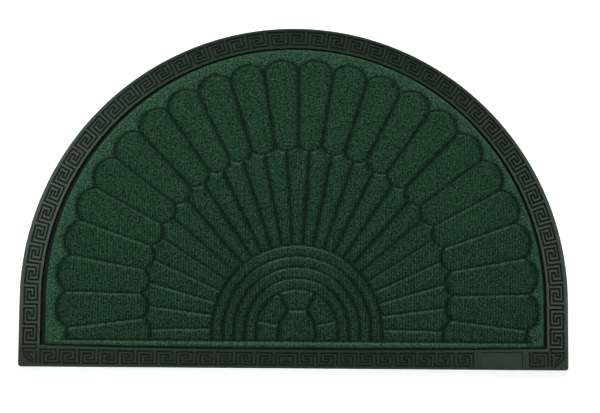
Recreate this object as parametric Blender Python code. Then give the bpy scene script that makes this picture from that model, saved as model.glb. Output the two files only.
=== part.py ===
"""Half-round entrance mat, lying flat: a moulded rubber tray with a meander border, and the carpet in it.

Metres, +Z up. The origin is under the middle of the mat, +X runs along its straight edge
and +Y points from that edge to the top of the arch.
"""

import math

import bmesh
import bpy
from mathutils import Vector

# The mat's outline, a half circle on a low rectangle.
RADIUS = 0.400
SIDE_LENGTH = 0.100
ARCH_Y = (SIDE_LENGTH - RADIUS) / 2
BOTTOM_Y = ARCH_Y - SIDE_LENGTH
CORNER_RADIUS = 0.0045
CORNER_STEPS = 4
BOW_STEPS = 8
END_ANGLE = 0.01

# Heights of the rubber tray above the floor.
TRAY_FLOOR = 0.0025
EDGE_HEIGHT = 0.0030
RIM_TOP = 0.0090
RELIEF_DEPTH = 0.0013

# The rim, measured inwards from the outer edge. It is widest at the sides and in the lower corners.
OUTER_SLOPE = 0.0024
TOP_WIDTH = 0.0304
SIDE_WIDENING = 0.0019
CORNER_WIDTH = 0.0311
BOTTOM_BOW = 0.0044
INNER_WALL_LEAN = 0.0006

# The meander: five rows of channel across the rim, and five steps along it for one unit.
CHANNEL_WIDTH = 0.0029
ROWS = 5
ARCH_ROW = 0.0066
ARCH_ROW_PITCH = 0.0047
BOTTOM_ROW = 0.0062
BOTTOM_ROW_PITCH = 0.00495
STEPS_PER_UNIT = 5

# Stretches of the runs, as a number of units and their length. The arch's is measured on the outer edge.
ARCH_STRETCHES = ((2, 0.0310), (10, 0.0315), (10, 0.0311), (9, 0.0306), (10, 0.0309))
LEFT_STRETCHES = ((6, 0.02875), (6, 0.0281))
RIGHT_STRETCHES = ((5, 0.0285), (4, 0.0280))
LAST_STRETCHES = ((1, 0.0264),)
LEFT_RUN_X = -0.0281
RIGHT_RUN_X = 0.0090
LAST_RUN_X = 0.3450

# How far below the arch its run starts on either side, and the units of the sides below that.
SIDE_UNITS = 2
LEFT_DIP = 0.0067
LEFT_SIDE_UNIT = 0.0290
RIGHT_DIP = 0.0092
RIGHT_SIDE_UNIT = 0.0284

# The unit between the two bottom runs: its axis, and how far its channels reach either side of it.
MIDDLE_X = -0.0102
RING_X = 0.0098
POCKET_X = 0.0062
POCKET_STEM_ROW = 2.3

# The bare plate let into the lower right of the rim.
PLATE_X = (0.2724, 0.3326)
PLATE_DEPTHS = (0.0040, 0.0262)

# The turns of the channel in one meander unit: steps along the rim, and rows from the outer edge.
KEY_TURNS = (
    (-0.5, 4),
    (-0.5, 0),
    (3.5, 0),
    (3.5, 3),
    (1.5, 3),
    (1.5, 2),
    (2.5, 2),
    (2.5, 1),
    (0.5, 1),
    (0.5, 4),
)

# The channels of the lower right corner, as distances from the side edge and from the bottom edge.
# Those of the left corner lie a little further in.
LEFT_CORNER_SHIFT = 0.0018
CORNER_SWEEP = (
    (0.0076, 0.0222),
    (0.0082, 0.0189),
    (0.0096, 0.0158),
    (0.0116, 0.0131),
    (0.0143, 0.0108),
    (0.0173, 0.0088),
)
CORNER_HOOK = (
    (0.0204, 0.0213),
    (0.0122, 0.0213),
    (0.0142, 0.0177),
    (0.0176, 0.0146),
    (0.0206, 0.0113),
    (0.0212, 0.0061),
)
CORNER_BAR = ((0.0261, 0.0213), (0.0261, 0.0062))

# The carpet: heights above the floor, its clearance in the tray, and the pressed grooves of its fan.
CARPET_BOTTOM = 0.0028
GROOVE_FLOOR = 0.0060
PETAL_RISE = 0.0020
MARGIN_RISE = 0.0016
GROOVE_HALF = 0.0024
CARPET_X = 0.0015
CARPET_HALF_WIDTH = 0.3618
CARPET_ARCH_RISE = 0.3678
CARPET_BOTTOM_GAP = 0.0334
CARPET_BOW = 0.0028
CARPET_CORNER = 0.0040
CARPET_ARCH_STEPS = 72

# The fan, whose axis lies a little right of the tray's.
FAN_X = 0.0048
PETALS = 22
PETAL_ANGLE = math.radians(8.88)
PETAL_CROWDING = math.radians(0.65)
CROWDING_WAVE = 1.5
PETAL_TIP = 0.3515
PETAL_TIP_NOTCH = 0.3370
PETAL_ROOT = 0.2168
PETAL_ROOT_NOTCH = 0.2270
FAN_FOOT = -0.0610
TIP_STEPS = 8
ROOT_STEPS = 6
INNER_FAN_Y = -0.0400
FOOT_TAPER = 0.0010
MERGE_DISTANCE = 0.00005

# The arches round the fan's centre, and the six cells under them.
ARCHES_Y = -0.0447
ARCH_RADII = (0.1235, 0.1075, 0.0915, 0.0755, 0.0595)
ARCH_STEPS = 24
CELL_TOP = (0.0260, 0.0100)
CELL_SHOULDER = (0.0210, -0.0020)
CELL_WAIST = (0.0135, -0.0155)
CELL_CORNER = (0.0270, -0.0370)
CELL_SIDE_Y = -0.0310
CELL_SIDE_STEPS = 5
CELL_TOP_STEPS = 4

RUBBER_COLOUR = (0.014, 0.018, 0.016)
CARPET_COLOUR = (0.012, 0.036, 0.019)


def new_material(name, colour, roughness):
    material = bpy.data.materials.new(name)
    material.use_nodes = True
    shader = material.node_tree.nodes["Principled BSDF"]
    shader.inputs["Base Color"].default_value = (*colour, 1.0)
    shader.inputs["Roughness"].default_value = roughness
    shader.inputs["Metallic"].default_value = 0.0
    return material


def new_object(name, bm, material):
    mesh = bpy.data.meshes.new(name)
    bm.to_mesh(mesh)
    bm.free()
    mesh.materials.append(material)
    obj = bpy.data.objects.new(name, mesh)
    bpy.context.scene.collection.objects.link(obj)
    return obj


def arc(centre, radius, start, end, steps):
    """Points on an arc, both ends included."""
    turn = (end - start) / steps
    return [
        Vector((
            centre[0] + radius * math.cos(start + turn * i),
            centre[1] + radius * math.sin(start + turn * i),
        ))
        for i in range(steps + 1)
    ]


def mirrored(points):
    return [Vector((-p.x, p.y)) for p in points]


def run_length(stretches, unit):
    """How far the first units of a run reach. A part of a unit counts as that part."""
    length = 0.0
    for count, unit_length in stretches:
        length += min(unit, count) * unit_length
        unit -= count
        if unit <= 0:
            break
    return length


def unit_count(stretches):
    return sum(count for count, _ in stretches)


def arch_angle(unit):
    """The angle on the arch at which a unit of its run starts, from the left."""
    return math.pi + (LEFT_DIP - run_length(ARCH_STRETCHES, unit)) / RADIUS


def rim_angles():
    """Angles of the outline's points on the arch: two for each meander unit, and the top."""
    first = (STEPS_PER_UNIT - 0.5) / STEPS_PER_UNIT
    halves = 2 * (unit_count(ARCH_STRETCHES) - 1)
    angles = [arch_angle(first + i / 2) for i in range(halves + 1)] + [math.pi / 2]
    return [0.0] + sorted(a for a in angles if END_ANGLE < a < math.pi - END_ANGLE) + [math.pi]


def bowed_line(left_x, right_x, low, bow):
    """The straight edge's points from left to right, without its ends. Its middle lies lowest."""
    middle = (left_x + right_x) / 2
    half = (right_x - left_x) / 2
    shares = [2 * i / BOW_STEPS - 1 for i in range(1, BOW_STEPS)]
    return [Vector((middle + share * half, low - bow * (1 - share**2))) for share in shares]


def rim_loop(inset, widening, low_inset, corner, bow, height):
    """The mat's outline moved inwards, anticlockwise from the right end of the arch."""
    half_width = RADIUS - inset - widening
    rise = RADIUS - inset
    low = BOTTOM_Y + low_inset
    points = [
        Vector((half_width * math.cos(a), ARCH_Y + rise * math.sin(a))) for a in rim_angles()
    ]
    left = (corner - half_width, low + corner)
    right = (half_width - corner, low + corner)
    points += arc(left, corner, math.pi, 1.5 * math.pi, CORNER_STEPS)
    points += bowed_line(left[0], right[0], low, bow)
    points += arc(right, corner, 1.5 * math.pi, 2 * math.pi, CORNER_STEPS)
    return [(p.x, p.y, height) for p in points]


def add_loop(bm, points):
    verts = [bm.verts.new(p) for p in points]
    return [bm.edges.new((verts[i - 1], verts[i])) for i in range(len(verts))]


def add_skin(bm, sections):
    """Closed loops of as many points each, joined by quads and closed by a face at either end."""
    loops = [[bm.verts.new(p) for p in section] for section in sections]
    for first, second in zip(loops, loops[1:]):
        for i in range(len(first)):
            bm.faces.new((first[i - 1], first[i], second[i], second[i - 1]))
    bm.faces.new(loops[0])
    bm.faces.new(loops[-1])


def raise_cutter(bm, faces):
    """Faces at the channels' floor made into a block that stands above the rim."""
    raised = bmesh.ops.extrude_face_region(bm, geom=faces)["geom"]
    top = [item for item in raised if isinstance(item, bmesh.types.BMVert)]
    bmesh.ops.translate(bm, verts=top, vec=(0, 0, 2 * RELIEF_DEPTH))


def groove_cutter(bm, path, closed=False):
    """A block that follows the path, as wide as a channel, from its floor to above the rim."""
    half = CHANNEL_WIDTH / 2
    count = len(path)
    pairs = []
    for i, point in enumerate(path):
        before = path[i - 1] if closed or i > 0 else None
        after = path[(i + 1) % count] if closed or i < count - 1 else None
        incoming = (point - before).normalized() if before else (after - point).normalized()
        outgoing = (after - point).normalized() if after else incoming
        end = half * ((0 if before else -1) + (0 if after else 1))
        side = Vector((-incoming.y, incoming.x)) + Vector((-outgoing.y, outgoing.x))
        side *= 2 * half / side.length_squared
        middle = point + incoming * end
        pairs.append([
            bm.verts.new((*(middle + side * hand), RIM_TOP - RELIEF_DEPTH)) for hand in (1, -1)
        ])
    if closed:
        pairs.append(pairs[0])
    raise_cutter(bm, [
        bm.faces.new((a[0], a[1], b[1], b[0])) for a, b in zip(pairs, pairs[1:])
    ])


def arch_depth(row):
    return ARCH_ROW + row * ARCH_ROW_PITCH


def bottom_point(x, row):
    """A point of the straight edge's rows, which lie closer together where the rim is narrower."""
    narrowing = BOTTOM_BOW * (1 - (x / RADIUS) ** 2) / CORNER_WIDTH
    return Vector((x, BOTTOM_Y + (BOTTOM_ROW + row * BOTTOM_ROW_PITCH) * (1 - narrowing)))


def key_run(units):
    """The channel's turns over some units, as units along the run and rows from the outer edge."""
    turns = [(unit + step / STEPS_PER_UNIT, row) for unit in range(units) for step, row in KEY_TURNS]
    last = units - 1 + (STEPS_PER_UNIT - 0.5) / STEPS_PER_UNIT
    return turns + [(last, ROWS - 1), (last, 0)]


def arch_point(unit, row):
    angle = arch_angle(unit)
    rise = RADIUS - arch_depth(row)
    return Vector(((rise - SIDE_WIDENING) * math.cos(angle), ARCH_Y + rise * math.sin(angle)))


def side_channel(dip, unit_length, shift):
    """The channel of the left side, from its lower corner up to the arch."""
    def across(row):
        return arch_depth(row) + SIDE_WIDENING - RADIUS

    run_start = ARCH_Y - dip
    step = unit_length / STEPS_PER_UNIT
    foot = run_start - SIDE_UNITS * unit_length - 1.5 * step
    corner = [Vector((x + shift - RADIUS, y + BOTTOM_Y)) for x, y in reversed(CORNER_SWEEP)]
    inner = across(ROWS - 1)
    corner += [Vector((across(0), foot)), Vector((inner, foot)), Vector((inner, foot + step))]
    side = [
        Vector((across(row), run_start + (unit - SIDE_UNITS) * unit_length))
        for unit, row in key_run(SIDE_UNITS)
    ]
    return corner + side[1:]


def arch_channel():
    """The one channel from a lower corner up the side, round the arch and down to the other corner."""
    left = side_channel(LEFT_DIP, LEFT_SIDE_UNIT, LEFT_CORNER_SHIFT)
    right = mirrored(reversed(side_channel(RIGHT_DIP, RIGHT_SIDE_UNIT, 0.0)))
    arch = [arch_point(unit, row) for unit, row in key_run(unit_count(ARCH_STRETCHES))]
    # Both joints lie in the outer row, where the channel passes over the end of a ridge.
    return left + arch[2:] + right


def bottom_run(start, stretches, hand):
    """A run of the meander along the straight edge, to the left where hand is -1."""
    return [
        bottom_point(start + hand * run_length(stretches, unit), row)
        for unit, row in key_run(unit_count(stretches))
    ]


def bottom_channel():
    """The one channel of the left and the right run, which meet under the unit between them."""
    left = bottom_run(LEFT_RUN_X, LEFT_STRETCHES, -1)
    return list(reversed(left)) + bottom_run(RIGHT_RUN_X, RIGHT_STRETCHES, 1)


def middle_ring():
    """The closed channel of the unit between the two runs."""
    corners = ((-RING_X, 0), (-RING_X, 3), (RING_X, 3), (RING_X, 0))
    return [bottom_point(MIDDLE_X + x, row) for x, row in corners]


def pocket_cutter(bm):
    """A block for the pocket in the island of the middle unit: a bar with a stem."""
    half = CHANNEL_WIDTH / 2
    bar = bottom_point(MIDDLE_X, 1)
    stem_end = bottom_point(MIDDLE_X, POCKET_STEM_ROW).y - bar.y
    outline = (
        (-POCKET_X, -half),
        (POCKET_X, -half),
        (POCKET_X, half),
        (half, half),
        (half, stem_end),
        (-half, stem_end),
        (-half, half),
        (-POCKET_X, half),
    )
    floor = RIM_TOP - RELIEF_DEPTH
    face = bm.faces.new([bm.verts.new((bar.x + x, bar.y + y, floor)) for x, y in outline])
    raise_cutter(bm, [face])


def corner_channels(hand):
    """The channels of a lower corner that stand apart from the long one."""
    shift = LEFT_CORNER_SHIFT if hand < 0 else 0.0
    for line in (CORNER_HOOK, CORNER_BAR):
        yield [Vector((hand * (RADIUS - x - shift), BOTTOM_Y + y)) for x, y in line]


def plate_cutter(bm):
    size = Vector((PLATE_X[1] - PLATE_X[0], PLATE_DEPTHS[1] - PLATE_DEPTHS[0], 2 * RELIEF_DEPTH))
    centre = Vector((sum(PLATE_X) / 2, BOTTOM_Y + sum(PLATE_DEPTHS) / 2, RIM_TOP))
    made = bmesh.ops.create_cube(bm, size=1.0)["verts"]
    bmesh.ops.scale(bm, verts=made, vec=size)
    bmesh.ops.translate(bm, verts=made, vec=centre)


def cutter_object(name, bm):
    bmesh.ops.recalc_face_normals(bm, faces=bm.faces)
    cutter = new_object(name, bm, bpy.data.materials["rubber"])
    cutter.hide_render = True
    cutter.display_type = "WIRE"
    return cutter


def make_meander_cutter():
    bm = bmesh.new()
    groove_cutter(bm, arch_channel())
    groove_cutter(bm, bottom_channel())
    groove_cutter(bm, bottom_run(LAST_RUN_X, LAST_STRETCHES, 1))
    groove_cutter(bm, middle_ring(), closed=True)
    pocket_cutter(bm)
    for hand in (-1, 1):
        for line in corner_channels(hand):
            groove_cutter(bm, line)
    plate_cutter(bm)
    return cutter_object("meander_cutter", bm)


def make_tray(material):
    """The rubber tray: a thin base and a raised rim with the meander sunk into its top."""
    inner_corner = CORNER_RADIUS / 2
    foot_width = TOP_WIDTH + INNER_WALL_LEAN
    foot_corner_width = CORNER_WIDTH + INNER_WALL_LEAN
    sections = (
        (0.0, 0.0, 0.0, CORNER_RADIUS, 0.0, 0.0),
        (0.0, 0.0, 0.0, CORNER_RADIUS, 0.0, EDGE_HEIGHT),
        (OUTER_SLOPE, 0.0, OUTER_SLOPE, CORNER_RADIUS - OUTER_SLOPE / 2, 0.0, RIM_TOP),
        (TOP_WIDTH, SIDE_WIDENING, CORNER_WIDTH, inner_corner, BOTTOM_BOW, RIM_TOP),
        (foot_width, SIDE_WIDENING, foot_corner_width, inner_corner, BOTTOM_BOW, TRAY_FLOOR),
    )
    bm = bmesh.new()
    add_skin(bm, [rim_loop(*section) for section in sections])
    bmesh.ops.recalc_face_normals(bm, faces=bm.faces)
    tray = new_object("rubber_tray", bm, material)
    cut = tray.modifiers.new("meander", "BOOLEAN")
    cut.operation = "DIFFERENCE"
    cut.object = make_meander_cutter()
    return tray


def fan_point(radius, angle):
    """A point of the fan, its angle measured from the axis, to the right where it is positive."""
    return Vector((radius * math.sin(angle), radius * math.cos(angle)))


def rounded_end(start, middle, end, steps):
    """Points of the arc from start through middle to end, without the last one."""
    chord = (end - start) / 2
    rise = middle - (start + end) / 2
    radius = (chord.length_squared + rise.length_squared) / (2 * rise.length)
    centre = middle - rise.normalized() * radius
    opening = 2 * math.atan2(chord.length, radius - rise.length)
    turn = opening if chord.cross(rise) < 0 else -opening
    arm = start - centre
    points = []
    for i in range(steps):
        angle = turn * i / steps
        points.append(centre + Vector((
            arm.x * math.cos(angle) - arm.y * math.sin(angle),
            arm.x * math.sin(angle) + arm.y * math.cos(angle),
        )))
    return points


def petal_line(i):
    """Angle of a line between outer petals, counted from the left. The petals are narrowest at the top."""
    even = (i - PETALS / 2) * PETAL_ANGLE
    return even - PETAL_CROWDING * math.sin(CROWDING_WAVE * even)


def petal_middle(i):
    return (petal_line(i) + petal_line(i + 1)) / 2


def root_apex(i):
    """The innermost point of an outer petal."""
    return fan_point(PETAL_ROOT, petal_middle(i))


def outer_petals():
    """The full petals, each a loop of points from its left notch."""
    for i in range(PETALS):
        left, middle, right = petal_line(i), petal_middle(i), petal_line(i + 1)
        tip = rounded_end(
            fan_point(PETAL_TIP_NOTCH, left),
            fan_point(PETAL_TIP, middle),
            fan_point(PETAL_TIP_NOTCH, right),
            TIP_STEPS,
        )
        root = rounded_end(
            fan_point(PETAL_ROOT_NOTCH, right),
            root_apex(i),
            fan_point(PETAL_ROOT_NOTCH, left),
            ROOT_STEPS,
        )
        yield tip + [fan_point(PETAL_TIP_NOTCH, right)] + root + [fan_point(PETAL_ROOT_NOTCH, left)]


def root_half(i, side):
    """Half of a petal's root, from the notch on its left (side 0) or right (side 1) to the apex."""
    notch = fan_point(PETAL_ROOT_NOTCH, petal_line(i + side))
    other = fan_point(PETAL_ROOT_NOTCH, petal_line(i + 1 - side))
    points = rounded_end(notch, root_apex(i), other, ROOT_STEPS)
    return points[: ROOT_STEPS // 2 + 1]


def foot_petal():
    """The part petal under the last full one on the right, cut off by the fan's foot."""
    tip = fan_point(PETAL_TIP_NOTCH, petal_line(PETALS))
    low_tip = Vector((tip.x - FOOT_TAPER, FAN_FOOT))
    low_root = Vector((root_apex(PETALS).x + FOOT_TAPER, FAN_FOOT))
    return [tip, low_tip, low_root] + list(reversed(root_half(PETALS, 0)))


def inner_line_foot(apex):
    """Where the line from a petal's apex to the lower centre meets the outermost arch."""
    centre = Vector((0, INNER_FAN_Y))
    arch_centre = Vector((0, ARCHES_Y))
    direction = (centre - apex).normalized()
    offset = apex - arch_centre
    along = -offset.dot(direction)
    reach = math.sqrt(ARCH_RADII[0] ** 2 - (offset.length_squared - along**2))
    return apex + direction * (along - reach)


def inner_apexes():
    """The points from which the lines between the inner petals start, from left to right."""
    return [(i, root_apex(i)) for i in range(-1, PETALS + 1)]


def arch_between(first, second):
    """The point of the outermost arch midway between two others on it."""
    centre = Vector((0, ARCHES_Y))
    middle = (first + second) / 2 - centre
    return centre + middle.normalized() * ARCH_RADII[0]


def inner_petals():
    apexes = inner_apexes()
    for (left, left_apex), (right, right_apex) in zip(apexes, apexes[1:]):
        rise = list(reversed(root_half(left, 1)))
        fall = root_half(right, 0)[1:]
        right_foot = inner_line_foot(right_apex)
        left_foot = inner_line_foot(left_apex)
        yield rise + fall + [right_foot, arch_between(right_foot, left_foot), left_foot]


def outer_arch():
    """The outermost arch, from its right foot to its left one, with the feet of the inner lines."""
    feet = [inner_line_foot(apex) for _, apex in reversed(inner_apexes())]
    points = [Vector((ARCH_RADII[0], FAN_FOOT))]
    for first, second in zip(feet, feet[1:]):
        points += [first, arch_between(first, second)]
    return points + [feet[-1], Vector((-ARCH_RADII[0], FAN_FOOT))]


def plain_arch(radius):
    """One of the other arches, upright below its centre."""
    points = arc((0, ARCHES_Y), radius, 0, math.pi, ARCH_STEPS)
    return [Vector((radius, FAN_FOOT))] + points + [Vector((-radius, FAN_FOOT))]


def cell_arch():
    """The innermost arch, with a point where each cell's groove meets it."""
    radius = ARCH_RADII[-1]
    side = math.asin((CELL_SIDE_Y - ARCHES_Y) / radius)
    top = math.acos(CELL_TOP[0] / radius)
    centre = (0, ARCHES_Y)
    points = [Vector((radius, FAN_FOOT)), Vector((radius, ARCHES_Y))]
    points += arc(centre, radius, side, top, CELL_SIDE_STEPS)
    points += arc(centre, radius, top, math.pi - top, CELL_TOP_STEPS)[1:]
    points += arc(centre, radius, math.pi - top, math.pi - side, CELL_SIDE_STEPS)[1:]
    return points + [Vector((-radius, ARCHES_Y)), Vector((-radius, FAN_FOOT))]


def arch_bands():
    arches = [outer_arch()] + [plain_arch(radius) for radius in ARCH_RADII[1:-1]] + [cell_arch()]
    for outer, inner in zip(arches, arches[1:]):
        yield outer + list(reversed(inner))


def cells():
    """The six cells under the innermost arch."""
    arch = cell_arch()
    shoulder, waist, corner = (Vector(p) for p in (CELL_SHOULDER, CELL_WAIST, CELL_CORNER))
    foot = Vector((corner.x, FAN_FOOT))
    # The arch starts with its foot and its springing point.
    side_end = 2
    top_start = side_end + CELL_SIDE_STEPS
    top_end = top_start + CELL_TOP_STEPS
    yield arch[top_start : top_end + 1] + mirrored([shoulder, waist]) + [waist, shoulder]
    yield [waist] + mirrored([waist, corner, foot]) + [foot, corner]
    upper = arch[side_end : top_start + 1] + [shoulder, waist, corner]
    lower = arch[: side_end + 1] + [corner, foot]
    for cell in (upper, lower):
        yield cell
        yield list(reversed(mirrored(cell)))


def fan_cells():
    """Every petal, band and cell of the fan, about the fan's own axis."""
    yield from outer_petals()
    yield foot_petal()
    yield mirrored(foot_petal())
    apex = root_apex(PETALS)
    low = [
        apex,
        Vector((apex.x + FOOT_TAPER, FAN_FOOT)),
        Vector((ARCH_RADII[0], FAN_FOOT)),
        inner_line_foot(apex),
    ]
    yield low
    yield mirrored(low)
    yield from inner_petals()
    yield from arch_bands()
    yield from cells()


def carpet_outline():
    """The carpet's edge: a little more than a half circle on the low rectangle of the tray."""
    points = []
    for i in range(CARPET_ARCH_STEPS + 1):
        angle = math.pi * i / CARPET_ARCH_STEPS
        points.append(Vector((
            CARPET_X + CARPET_HALF_WIDTH * math.cos(angle),
            ARCH_Y + CARPET_ARCH_RISE * math.sin(angle),
        )))
    low = BOTTOM_Y + CARPET_BOTTOM_GAP
    left = (CARPET_X - CARPET_HALF_WIDTH + CARPET_CORNER, low + CARPET_CORNER)
    right = (CARPET_X + CARPET_HALF_WIDTH - CARPET_CORNER, low + CARPET_CORNER)
    points += arc(left, CARPET_CORNER, math.pi, 1.5 * math.pi, CORNER_STEPS)
    points += bowed_line(left[0], right[0], low, CARPET_BOW)
    points += arc(right, CARPET_CORNER, 1.5 * math.pi, 2 * math.pi, CORNER_STEPS)
    return points


def press_fan(bm):
    """The fan's flat cells, joined along their grooves, each raised to a petal with sloping sides."""
    for cell in fan_cells():
        verts = [bm.verts.new((p.x + FAN_X, p.y + ARCH_Y, GROOVE_FLOOR)) for p in cell]
        bm.faces.new(verts)
    bmesh.ops.remove_doubles(bm, verts=bm.verts, dist=MERGE_DISTANCE)
    bmesh.ops.recalc_face_normals(bm, faces=bm.faces)
    for face in bm.faces:
        if face.normal.z < 0:
            face.normal_flip()
    return list(bm.faces)


def make_carpet(material):
    """The carpet: one slab, its fan raised between pressed grooves."""
    bm = bmesh.new()
    petals = press_fan(bm)
    rim_of_fan = [edge for edge in bm.edges if edge.is_boundary]
    outline = add_loop(bm, [(p.x, p.y, GROOVE_FLOOR) for p in carpet_outline()])
    filled = bmesh.ops.triangle_fill(bm, edges=rim_of_fan + outline, use_beauty=True, normal=(0, 0, 1))
    margin = [item for item in filled["geom"] if isinstance(item, bmesh.types.BMFace)]
    bmesh.ops.inset_individual(bm, faces=petals, thickness=GROOVE_HALF, depth=PETAL_RISE)
    bmesh.ops.inset_region(
        bm, faces=margin, thickness=GROOVE_HALF, depth=MARGIN_RISE, use_even_offset=True, use_boundary=True
    )
    edge = [item for item in bm.edges if item.is_boundary]
    walls = bmesh.ops.extrude_edge_only(bm, edges=edge)["geom"]
    low = [item for item in walls if isinstance(item, bmesh.types.BMVert)]
    for vert in low:
        vert.co.z = CARPET_BOTTOM
    bmesh.ops.edgeloop_fill(bm, edges=[item for item in bm.edges if item.is_boundary])
    bmesh.ops.recalc_face_normals(bm, faces=bm.faces)
    return new_object("ribbed_carpet", bm, material)


def main():
    for obj in list(bpy.data.objects):
        bpy.data.objects.remove(obj, do_unlink=True)
    rubber = new_material("rubber", RUBBER_COLOUR, roughness=0.55)
    carpet = new_material("carpet", CARPET_COLOUR, roughness=0.95)
    make_tray(rubber)
    make_carpet(carpet)


main()
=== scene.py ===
"""Half-round entrance mat on a pale floor: a moulded rubber tray and its carpet, pressed with a fan."""

import math

import bmesh
import bpy
from mathutils import Matrix, Vector
from mathutils.kdtree import KDTree


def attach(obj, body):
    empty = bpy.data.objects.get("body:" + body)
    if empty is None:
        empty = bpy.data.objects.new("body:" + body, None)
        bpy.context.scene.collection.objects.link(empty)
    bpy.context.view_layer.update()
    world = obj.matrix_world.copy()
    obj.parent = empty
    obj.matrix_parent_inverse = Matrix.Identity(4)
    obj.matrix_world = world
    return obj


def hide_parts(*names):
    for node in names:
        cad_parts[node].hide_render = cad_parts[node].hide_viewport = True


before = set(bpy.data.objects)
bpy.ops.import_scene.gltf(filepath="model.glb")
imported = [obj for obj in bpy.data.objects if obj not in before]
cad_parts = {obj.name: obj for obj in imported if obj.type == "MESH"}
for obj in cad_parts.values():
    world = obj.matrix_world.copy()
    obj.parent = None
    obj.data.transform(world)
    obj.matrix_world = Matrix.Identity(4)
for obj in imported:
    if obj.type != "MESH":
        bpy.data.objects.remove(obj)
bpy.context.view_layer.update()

# The camera above the mat, from the fit of the mat's outline.
CAMERA_PLACE = (0.0081, -0.1187, 1.6124)
CAMERA_TILT = math.radians(3.718)
CAMERA_ROLL = math.radians(0.436)
SENSOR_WIDTH = 36.0
LENS = 66.0

# The two side lights: their tint, and how far they open.
GREENISH = (0.86, 1.0, 0.90)
SIDE_OPENING = math.radians(50)

# The floor reaches metres past the mat, and lies a hair below it.
FLOOR_REACH = 6.0
FLOOR_DROP = 0.0003

# The fan, as in the solid: its axis stands a little beside the middle of the arch, and its petals crowd
# together towards the top.
ARCH_Y = -0.150
FAN_X = 0.0048
PETAL_ANGLE = math.radians(8.88)
PETAL_CROWDING = math.radians(0.65)
CROWDING_WAVE = 1.5
PETAL_TIP = 0.3515
PETAL_TIP_NOTCH = 0.3370
FAN_FOOT_Y = ARCH_Y - 0.0610

# The heights on a channel's wall where the rubber turns from dull to worn, and from painted shade to ridge
# colour.
CHANNEL_WALL_Z = (0.0078, 0.0088)

# The bare plate, inside the narrow painted shadow lines along its right and upper edges.
PLATE_X = (0.2724, 0.3326)
PLATE_TOP_Y = -0.2238
PLATE_FRONT_Y = -0.2460
PLATE_SHADOW_LINE = 0.0010
PLATE_FADE = 0.0002
SHADOW_LINE_FADE = 0.0003

# Where the ridges get a painted highlight towards the mat's two ends, and where its front strip ends.
ENDS_X = (0.200, 0.360)
FRONT_Y = (-0.224, -0.214)

# The carpet's shape: flat grooves between crowned petals, and an edge that drops a little.
CARPET_BOTTOM = 0.0028
GROOVE_FLOOR = 0.0060
PETAL_RISE = 0.0016
PETAL_CROWN = 0.0004
GROOVE_WIDTH = 0.0018
CROWN_WIDTH = 0.0120
EDGE_DROP = 0.0012
EDGE_WIDTH = 0.0016
PILE_STEP = 0.00175
SAMPLE_STEP = 0.0008

# Where the pile gets painted shade and painted highlight: in grooves that run up the mat (steep) and across
# it (level), round the petals' tips and at the edge.
EDGE_SHINE_WIDTH = 0.0040
SHADE_WIDTH = 0.0036
LEVEL_START = 0.70
LEVEL_RANGE = 0.24
LEVEL_SHADE = 0.7
TIP_WIDTH = 0.0022
TIP_LEAN = 0.45
LEAN_GAIN = 2.4
LEAN_FLOOR = 0.30

# The ribs run up the mat; their bump and the painted shade between them fade towards the top of the arch.
RIB_PITCH = 0.0041
RIBS_FADE_Y = (-0.10, 0.15)

# Small distances within which points or heights count as the same, and slopes that tell walls from tops.
MERGE_DISTANCE = 0.00001
SAME_HEIGHT = 0.00002
TRIM_DISTANCE = 0.0002
WALL_SLOPE = 0.01
TOP_SLOPE = 0.3
BACK_SLOPE = -0.9


class Value:
    """A shader socket that adds Math nodes when it is used in an expression."""

    def __init__(self, finish, socket):
        self.finish = finish
        self.socket = socket

    def __add__(self, other):
        return self.finish.math("ADD", self, other)

    def __radd__(self, other):
        return self.finish.math("ADD", other, self)

    def __sub__(self, other):
        return self.finish.math("SUBTRACT", self, other)

    def __rsub__(self, other):
        return self.finish.math("SUBTRACT", other, self)

    def __mul__(self, other):
        return self.finish.math("MULTIPLY", self, other)

    def __rmul__(self, other):
        return self.finish.math("MULTIPLY", other, self)


class Finish:
    """A procedural material in the making."""

    def __init__(self, name):
        self.material = bpy.data.materials.new(name)
        self.material.use_nodes = True
        self.tree = self.material.node_tree
        self.surface = self.tree.nodes["Principled BSDF"]

    def feed(self, socket, value):
        if isinstance(value, Value):
            self.tree.links.new(value.socket, socket)
        else:
            socket.default_value = value

    def node(self, kind, settings, inputs, output=0):
        """One node: its settings are set first, then the values or links of its sockets."""
        made = self.tree.nodes.new(kind)
        for name, setting in settings.items():
            setattr(made, name, setting)
        for name, value in inputs.items():
            self.feed(made.inputs[name], value)
        return Value(self, made.outputs[output])

    def math(self, operation, first, second=0.0):
        return self.node("ShaderNodeMath", {"operation": operation}, {0: first, 1: second})

    def place(self):
        return self.node("ShaderNodeTexCoord", {}, {}, "Object")

    def axis(self, name):
        return self.node("ShaderNodeSeparateXYZ", {}, {0: self.place()}, name)

    def noise(self, size, detail=2.0, roughness=0.5):
        """Noise with features of that size in metres, about 0.5 on average."""
        inputs = {"Vector": self.place(), "Scale": 1 / size, "Detail": detail, "Roughness": roughness}
        return self.node("ShaderNodeTexNoise", {}, inputs, "Fac")

    def spread(self, value, low, high, new_low=0.0, new_high=1.0):
        """The value's range from low to high, stretched to a new range and kept in it."""
        inputs = {"Value": value, "From Min": low, "From Max": high}
        inputs |= {"To Min": new_low, "To Max": new_high}
        return self.node("ShaderNodeMapRange", {"clamp": True}, inputs)

    def blend(self, amount, first, second):
        """One colour turned into another by an amount."""
        return self.node("ShaderNodeMix", {"data_type": "RGBA"}, {0: amount, 6: first, 7: second}, 2)

    def attribute(self, name):
        return self.node("ShaderNodeAttribute", {"attribute_name": name}, {}, "Fac")

    def set(self, **sockets):
        for name, value in sockets.items():
            self.feed(self.surface.inputs[name.replace("_", " ")], value)


def colour(red, green, blue):
    return (red, green, blue, 1.0)


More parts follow.
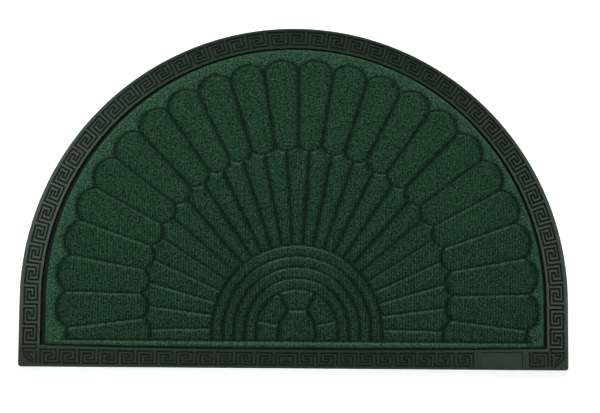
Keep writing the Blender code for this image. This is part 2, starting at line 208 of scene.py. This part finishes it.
def moulded_rubber():
    """Black-grey rubber: the raised ridges and the plate are worn to a satin, and the channels are dull and
    carry painted shade.

    The ridges carry a painted highlight towards the mat's two ends, and the channels' painted shade is
    weaker elsewhere.
    """
    finish = Finish("moulded_rubber")
    x = finish.axis("X")
    y = finish.axis("Y")
    raised = finish.spread(finish.axis("Z"), *CHANNEL_WALL_Z)
    # The plate stops short of its right and upper edges, so a painted shadow line in channel colour lies
    # there.
    shadow_line_x = PLATE_X[1] - PLATE_SHADOW_LINE
    shadow_line_y = PLATE_TOP_Y - PLATE_SHADOW_LINE
    from_left = finish.spread(x, PLATE_X[0] - PLATE_FADE, PLATE_X[0] + PLATE_FADE)
    from_right = finish.spread(x, shadow_line_x - SHADOW_LINE_FADE, shadow_line_x, 1.0, 0.0)
    below = finish.spread(y, shadow_line_y - SHADOW_LINE_FADE, shadow_line_y, 1.0, 0.0)
    above = finish.spread(y, PLATE_FRONT_Y, PLATE_FRONT_Y + SHADOW_LINE_FADE)
    plate = from_left * from_right * below * above
    worn = finish.math("MAXIMUM", raised, plate)
    cloud = finish.noise(0.060, detail=3.0)
    grain = finish.noise(0.0009, detail=3.0, roughness=0.6)
    dust = finish.spread(finish.noise(0.004, detail=4.0, roughness=0.7), 0.45, 0.75)
    to_side = finish.spread(finish.math("ABSOLUTE", x), ENDS_X[0], ENDS_X[1])
    front = finish.spread(y, FRONT_Y[0], FRONT_Y[1], 1.0, 0.0)
    black = finish.blend(cloud, colour(0.0118, 0.0218, 0.0148), colour(0.0158, 0.0275, 0.0192))
    dusty = finish.blend(dust * 0.20 + plate * (1 - raised) * 0.30, black, colour(0.0250, 0.0400, 0.0300))
    # A painted highlight on the ridges towards the mat's two ends.
    ridges_painted_light_at_ends = finish.blend(to_side * (1 - front) * 0.75, dusty, colour(0.0330, 0.0470, 0.0375))
    # Painted shade in the channels, weaker away from the mat's ends and along the front strip.
    channel_shade_eased = finish.math("MAXIMUM", front * 0.55, (1 - to_side) * 0.42)
    channel_painted_shade = finish.blend(channel_shade_eased, colour(0.0050, 0.0098, 0.0066), colour(0.0112, 0.0200, 0.0138))
    soft_edge = finish.node("ShaderNodeBevel", {"samples": 6}, {"Radius": 0.0006})
    bump = {"Strength": 0.35, "Distance": 0.0002, "Height": grain, "Normal": soft_edge}
    finish.set(
        Base_Color=finish.blend(worn, channel_painted_shade, ridges_painted_light_at_ends),
        Roughness=finish.spread(cloud * 0.5 + grain * 0.5, 0.3, 0.7, 0.46, 0.60),
        Specular_IOR_Level=0.06,
        Coat_Weight=worn * 0.17,
        Coat_Roughness=0.36,
        Normal=finish.node("ShaderNodeBump", {}, bump),
    )
    return finish.material


def ribbed_pile():
    """Dark green needle-punched pile: fine upright ribs and loose fibre ends, with painted shade in the
    grooves and between the ribs, and painted highlights on groove walls and along the edge.
    """
    finish = Finish("ribbed_pile")
    groove_shade = finish.attribute("groove_shade")
    margin = finish.attribute("margin")
    uphill_shade = finish.attribute("uphill_shade")
    downhill_highlight = finish.attribute("downhill_highlight")
    edge_highlight = finish.attribute("edge_highlight")
    wander = finish.noise(0.030, detail=2.0)
    turns = finish.axis("X") * (2 * math.pi / RIB_PITCH) + wander * 3.0
    rib = finish.math("SINE", turns) * 0.5 + 0.5
    fibre = finish.noise(0.0017, detail=3.0, roughness=0.65)
    tuft = finish.spread(finish.noise(0.0028, detail=3.0, roughness=0.75), 0.40, 0.62)
    cloud = finish.spread(finish.noise(0.080, detail=3.0), 0.35, 0.65)
    speck = finish.noise(0.0026, detail=2.0, roughness=0.8)
    fleck = finish.spread(speck, 0.56, 0.70)
    spark = finish.spread(speck, 0.47, 0.62)
    outside = finish.math("MAXIMUM", margin, edge_highlight)
    dark = finish.blend(cloud, colour(0.0020, 0.0085, 0.0037), colour(0.0034, 0.0130, 0.0060))
    lit = finish.blend(tuft, dark, colour(0.0240, 0.0710, 0.0355))
    teal = finish.blend(fleck * 0.85, lit, colour(0.0740, 0.1600, 0.1000))
    low_down = finish.spread(finish.axis("Y"), RIBS_FADE_Y[0], RIBS_FADE_Y[1], 1.0, 0.35)
    # Painted shade between the ribs, fading towards the top of the arch.
    shade_between_ribs = (1 - rib) * (1 - margin) * low_down
    rib_shaded = finish.blend(shade_between_ribs * 0.42, teal, colour(0.0014, 0.0070, 0.0032))
    # Pale specks over the margin, and a painted highlight of specks and teal along the carpet's edge.
    bright = finish.blend(outside * spark * 0.52, rib_shaded, colour(0.0760, 0.1650, 0.1080))
    edge_highlighted = finish.blend(edge_highlight * 0.30, bright, colour(0.0420, 0.1050, 0.0680))
    # Painted shade in the grooves.
    pressed = finish.blend(groove_shade * 0.84, edge_highlighted, colour(0.0012, 0.0064, 0.0029))
    # Painted shade on level groove walls facing away from the top of the arch, painted highlight on those
    # facing it.
    shaded = finish.blend(uphill_shade * 0.65, pressed, colour(0.0010, 0.0060, 0.0026))
    with_painted_highlight = finish.blend(downhill_highlight * (tuft * 0.50 + 0.38), shaded, colour(0.0680, 0.1420, 0.0930))
    height = rib * (1 - margin) * low_down * 0.5 + fibre * 0.6 + tuft * 0.25
    bump = {"Strength": 1.0, "Distance": 0.0012, "Height": height}
    finish.set(
        Base_Color=with_painted_highlight,
        Roughness=0.95,
        Specular_IOR_Level=0.10,
        Normal=finish.node("ShaderNodeBump", {}, bump),
    )
    return finish.material


def pale_floor():
    """A lit table, bright enough to show almost no shadow."""
    finish = Finish("pale_floor")
    finish.set(Base_Color=colour(0.90, 0.90, 0.90), Roughness=0.9, Specular_IOR_Level=0.1)
    finish.set(Emission_Color=colour(1.0, 1.0, 1.0), Emission_Strength=0.5)
    return finish.material


def add_piece(name, bm, material):
    mesh = bpy.data.meshes.new(name)
    bm.to_mesh(mesh)
    bm.free()
    mesh.materials.append(material)
    piece = bpy.data.objects.new(name, mesh)
    bpy.context.scene.collection.objects.link(piece)
    return piece


def merged_copy(node):
    bm = bmesh.new()
    bm.from_mesh(node.data)
    bmesh.ops.remove_doubles(bm, verts=bm.verts, dist=MERGE_DISTANCE)
    return bm


def pressed_lines(node):
    """The grooves' middle lines and the outline of the carpet, each as pairs of points."""
    bm = merged_copy(node)
    bm.normal_update()
    grooves = []
    outline = []
    for edge in bm.edges:
        if all(abs(vert.co.z - GROOVE_FLOOR) < SAME_HEIGHT for vert in edge.verts):
            upright = any(abs(face.normal.z) < WALL_SLOPE for face in edge.link_faces)
            ends = tuple(vert.co.copy() for vert in edge.verts)
            (outline if upright else grooves).append(ends)
    bm.free()
    return grooves, outline


class Nearness:
    """How far a point is from the nearest of many short lines."""

    def __init__(self, lines):
        self.samples = []
        for start, end in lines:
            count = max(1, math.ceil((end - start).length / SAMPLE_STEP))
            for i in range(count + 1):
                self.samples.append((start.lerp(end, i / count), start, end))
        self.tree = KDTree(len(self.samples))
        for i, (point, _, _) in enumerate(self.samples):
            self.tree.insert(point, i)
        self.tree.balance()

    def nearest(self, point):
        """The distance to the nearest line, and that line's direction."""
        _, i, _ = self.tree.find(point)
        _, start, end = self.samples[i]
        line = end - start
        share = min(1.0, max(0.0, (point - start).dot(line) / line.length_squared))
        return (point - start - line * share).length, line.normalized()


def in_margin(point):
    """Whether a point of the carpet lies outside the fan."""
    x = point.x - FAN_X
    y = point.y - ARCH_Y
    angle = math.atan2(x, y)
    along = (angle + PETAL_CROWDING * math.sin(CROWDING_WAVE * angle)) / PETAL_ANGLE
    bow = 1 - (2 * (along - math.floor(along)) - 1) ** 2
    tip = PETAL_TIP_NOTCH + (PETAL_TIP - PETAL_TIP_NOTCH) * bow
    return point.y < FAN_FOOT_Y or math.hypot(x, y) > tip


def on_tip(point):
    """Whether a point lies about the rounded ends of the outer petals."""
    reach = math.hypot(point.x - FAN_X, point.y - ARCH_Y)
    return reach > PETAL_TIP_NOTCH and point.y > FAN_FOOT_Y + SHADE_WIDTH


def carpet_blank(outline):
    """A fine flat grid, trimmed along the carpet's outline."""
    xs = [point.x for line in outline for point in line]
    ys = [point.y for line in outline for point in line]
    size = Vector((max(xs) - min(xs), max(ys) - min(ys), 1.0))
    middle = Vector(((max(xs) + min(xs)) / 2, (max(ys) + min(ys)) / 2, GROOVE_FLOOR))
    bm = bmesh.new()
    columns = round(size.x / PILE_STEP)
    rows = round(size.y / PILE_STEP)
    bmesh.ops.create_grid(bm, x_segments=columns, y_segments=rows, size=0.5)
    bmesh.ops.scale(bm, verts=bm.verts, vec=size)
    bmesh.ops.translate(bm, verts=bm.verts, vec=middle)
    for start, end in outline:
        along = (end - start).normalized()
        outward = Vector((along.y, -along.x, 0.0))
        if outward.dot((start + end) / 2 - middle) < 0:
            outward.negate()
        inmost = start.dot(outward) - 2 * PILE_STEP
        near = [face for face in bm.faces if face.calc_center_median().dot(outward) > inmost]
        geom = near + list({edge for face in near for edge in face.edges})
        geom += list({vert for face in near for vert in face.verts})
        bmesh.ops.bisect_plane(
            bm,
            geom=geom,
            dist=TRIM_DISTANCE,
            plane_co=start,
            plane_no=outward,
            clear_outer=True,
            clear_inner=False,
        )
    return bm


def limited(value):
    return min(1.0, max(0.0, value))


def bell(distance, width):
    """One at no distance, about a third at the width, and next to nothing at twice the width."""
    return math.exp(-((distance / width) ** 2))


def press(bm, grooves, outline):
    """Raises the pile between the grooves, and notes where each place of it gets painted shade and painted
    highlight.

    Grooves that run up the mat (steep) get painted shade all over. In those that run across it (level),
    walls that face the top of the arch get a painted highlight, and walls that face away from it get
    painted shade.
    Round the petals' tips that painted highlight and shade are weaker.
    """
    names = ("groove_shade", "margin", "uphill_shade", "downhill_highlight", "level", "edge_highlight")
    groove_shade_layer, margin_layer, uphill_shade_layer, downhill_highlight_layer, level_layer, edge_highlight_layer = (
        bm.verts.layers.float.new(name) for name in names
    )
    to_groove = Nearness(grooves)
    to_edge = Nearness(outline)
    for vert in bm.verts:
        point = vert.co.copy()
        distance, direction = to_groove.nearest(point)
        to_rim, _ = to_edge.nearest(point)
        pressed = bell(distance, GROOVE_WIDTH)
        crown = 1 - math.exp(-distance / CROWN_WIDTH)
        level = limited((abs(direction.x) - LEVEL_START) / LEVEL_RANGE)
        # Painted shade: wide over grooves that run up the mat, narrow in those across it, and round the
        # tips.
        steep_shade = bell(distance, SHADE_WIDTH) * (1 - level)
        tip = on_tip(point)
        level_shade = bell(distance, TIP_WIDTH) if tip else LEVEL_SHADE * pressed
        vert[groove_shade_layer] = steep_shade + level_shade * level
        vert[level_layer] = level * (TIP_LEAN if tip else 1.0)
        # Where the painted highlight along the carpet's edge goes.
        vert[edge_highlight_layer] = bell(to_rim, EDGE_SHINE_WIDTH)
        vert[margin_layer] = 1.0 if in_margin(point) else 0.0
        rise = PETAL_RISE * (1 - pressed) + PETAL_CROWN * crown
        vert.co.z += rise - EDGE_DROP * bell(to_rim, EDGE_WIDTH)
    bm.normal_update()
    # Painted highlight on level groove walls that face the top of the arch, painted shade on walls that
    # face away.
    for vert in bm.verts:
        upward = vert.normal if vert.normal.z > 0 else -vert.normal
        share = vert[level_layer] * (1 - vert[edge_highlight_layer])
        vert[downhill_highlight_layer] = share * limited(upward.y * LEAN_GAIN - LEAN_FLOOR)
        vert[uphill_shade_layer] = share * limited(-upward.y * LEAN_GAIN - LEAN_FLOOR)


def close_below(bm):
    """Walls from the carpet's edge down to its back, and the back."""
    rim = [edge for edge in bm.edges if edge.is_boundary]
    walls = bmesh.ops.extrude_edge_only(bm, edges=rim)["geom"]
    for item in walls:
        if isinstance(item, bmesh.types.BMVert):
            item.co.z = CARPET_BOTTOM
    bmesh.ops.edgeloop_fill(bm, edges=[edge for edge in bm.edges if edge.is_boundary])
    bmesh.ops.recalc_face_normals(bm, faces=bm.faces)


def lay_carpet(node):
    grooves, outline = pressed_lines(node)
    bm = carpet_blank(outline)
    press(bm, grooves, outline)
    close_below(bm)
    bm.normal_update()
    for face in bm.faces:
        face.smooth = face.normal.z > TOP_SLOPE
    area = sum(face.calc_area() for face in bm.faces if face.normal.z < BACK_SLOPE)
    carpet = add_piece("pressed_carpet", bm, ribbed_pile())
    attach(carpet, "root")
    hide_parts("ribbed_carpet")


def finish_tray(node):
    rubber = moulded_rubber()
    for slot in node.material_slots:
        slot.material = rubber


def lay_floor():
    bm = bmesh.new()
    bmesh.ops.create_grid(bm, x_segments=1, y_segments=1, size=FLOOR_REACH)
    bmesh.ops.translate(bm, verts=bm.verts, vec=(0.0, 0.0, -FLOOR_DROP))
    add_piece("floor", bm, pale_floor())


def soft_light(name, place, aim, size, power, tint=(1.0, 1.0, 1.0), opening=math.pi):
    """A soft box that faces a place on the mat."""
    light = bpy.data.lights.new(name, "AREA")
    light.color = tint
    light.spread = opening
    light.shape = "RECTANGLE"
    light.size, light.size_y = size
    light.energy = power
    box = bpy.data.objects.new(name, light)
    box.location = place
    box.rotation_euler = (Vector(aim) - Vector(place)).to_track_quat("-Z", "Y").to_euler()
    bpy.context.scene.collection.objects.link(box)


def light_studio():
    world = bpy.data.worlds.new("studio")
    world.use_nodes = True
    background = world.node_tree.nodes["Background"]
    background.inputs["Color"].default_value = colour(1.0, 1.0, 1.0)
    background.inputs["Strength"].default_value = 0.12
    bpy.context.scene.world = world
    soft_light("far_light", place=(0.0, 3.0, 1.9), aim=(0.0, 0.0, 0.0), size=(3.2, 0.8), power=118)
    soft_light(
        "left_light",
        place=(-0.86, 0.12, 1.8),
        aim=(-0.42, 0.02, 0.0),
        size=(0.36, 1.1),
        power=2.0,
        tint=GREENISH,
        opening=SIDE_OPENING,
    )
    soft_light(
        "right_light",
        place=(0.95, -0.15, 1.8),
        aim=(0.44, -0.05, 0.0),
        size=(0.34, 0.8),
        power=1.0,
        tint=GREENISH,
        opening=SIDE_OPENING,
    )


def place_camera():
    camera = bpy.data.objects.new("camera", bpy.data.cameras.new("camera"))
    camera.data.sensor_width = SENSOR_WIDTH
    camera.data.lens = LENS
    turn = Matrix.Rotation(CAMERA_TILT, 4, "X") @ Matrix.Rotation(CAMERA_ROLL, 4, "Z")
    camera.matrix_world = Matrix.Translation(CAMERA_PLACE) @ turn
    bpy.context.scene.collection.objects.link(camera)
    bpy.context.scene.camera = camera
    bpy.context.scene.view_settings.view_transform = "Standard"


place_camera()
light_studio()
lay_floor()
finish_tray(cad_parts["rubber_tray"])
lay_carpet(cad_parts["ribbed_carpet"])
